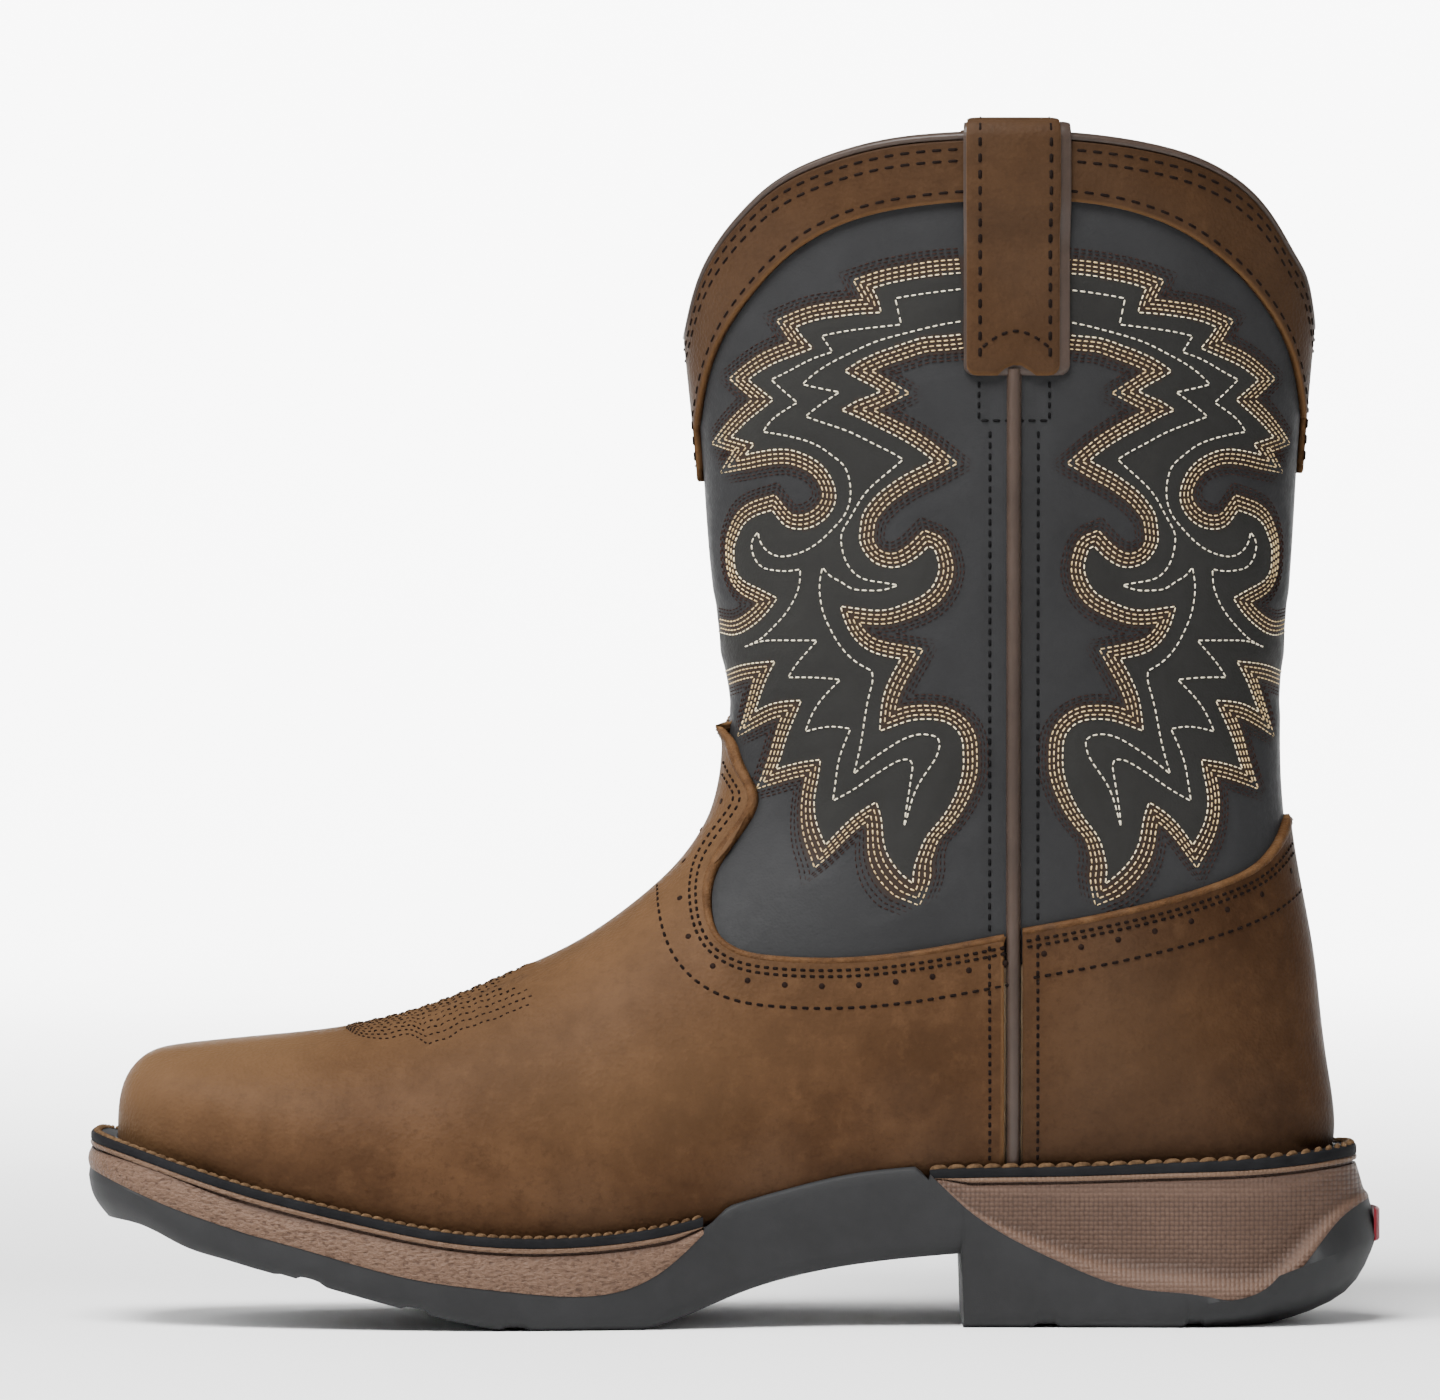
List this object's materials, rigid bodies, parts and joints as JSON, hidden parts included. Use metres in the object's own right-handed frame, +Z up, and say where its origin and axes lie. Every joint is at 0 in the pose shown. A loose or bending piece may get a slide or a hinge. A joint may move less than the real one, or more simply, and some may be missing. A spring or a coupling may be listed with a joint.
{
  "type": "western boot",
  "caption": "Pull-on western work boot for the right foot: charcoal shaft, brown vamp, counter and scalloped collar, pull straps and a welted rubber sole with a low heel.",
  "frame": {"origin": "middle of the boot's box in plan, on the floor that heel and forefoot stand on", "axes": "+X from toe to heel, +Y from the medial to the lateral side, +Z up"},
  "size_m": [0.3066, 0.1079, 0.2838],
  "materials": {
    "shaft_leather": "oiled, matt",
    "brown_leather": "oiled, satin, worn",
    "piping_leather": "smooth, satin",
    "strap_leather": "oiled, satin",
    "welt": "smooth, satin",
    "brown_rubber": "pebbled, matt",
    "black_rubber": "smooth, matt",
    "red_rubber": "smooth, satin",
    "insole_leather": "matt"
  },
  "bodies": {
    "root": {"upper": "shaft_leather", "vamp": "brown_leather", "counter": "brown_leather", "collar": "brown_leather", "topline_bead": "piping_leather", "side_piping_medial": "piping_leather", "side_piping_lateral": "piping_leather", "pull_strap_medial": "strap_leather", "pull_strap_lateral": "strap_leather", "welt_forefoot": "welt", "welt_heel": "welt", "midsole": "brown_rubber", "heel_insert": "brown_rubber", "outsole": "black_rubber", "heel_tab": "red_rubber", "insole": "insole_leather"}
  },
  "joints": []
}
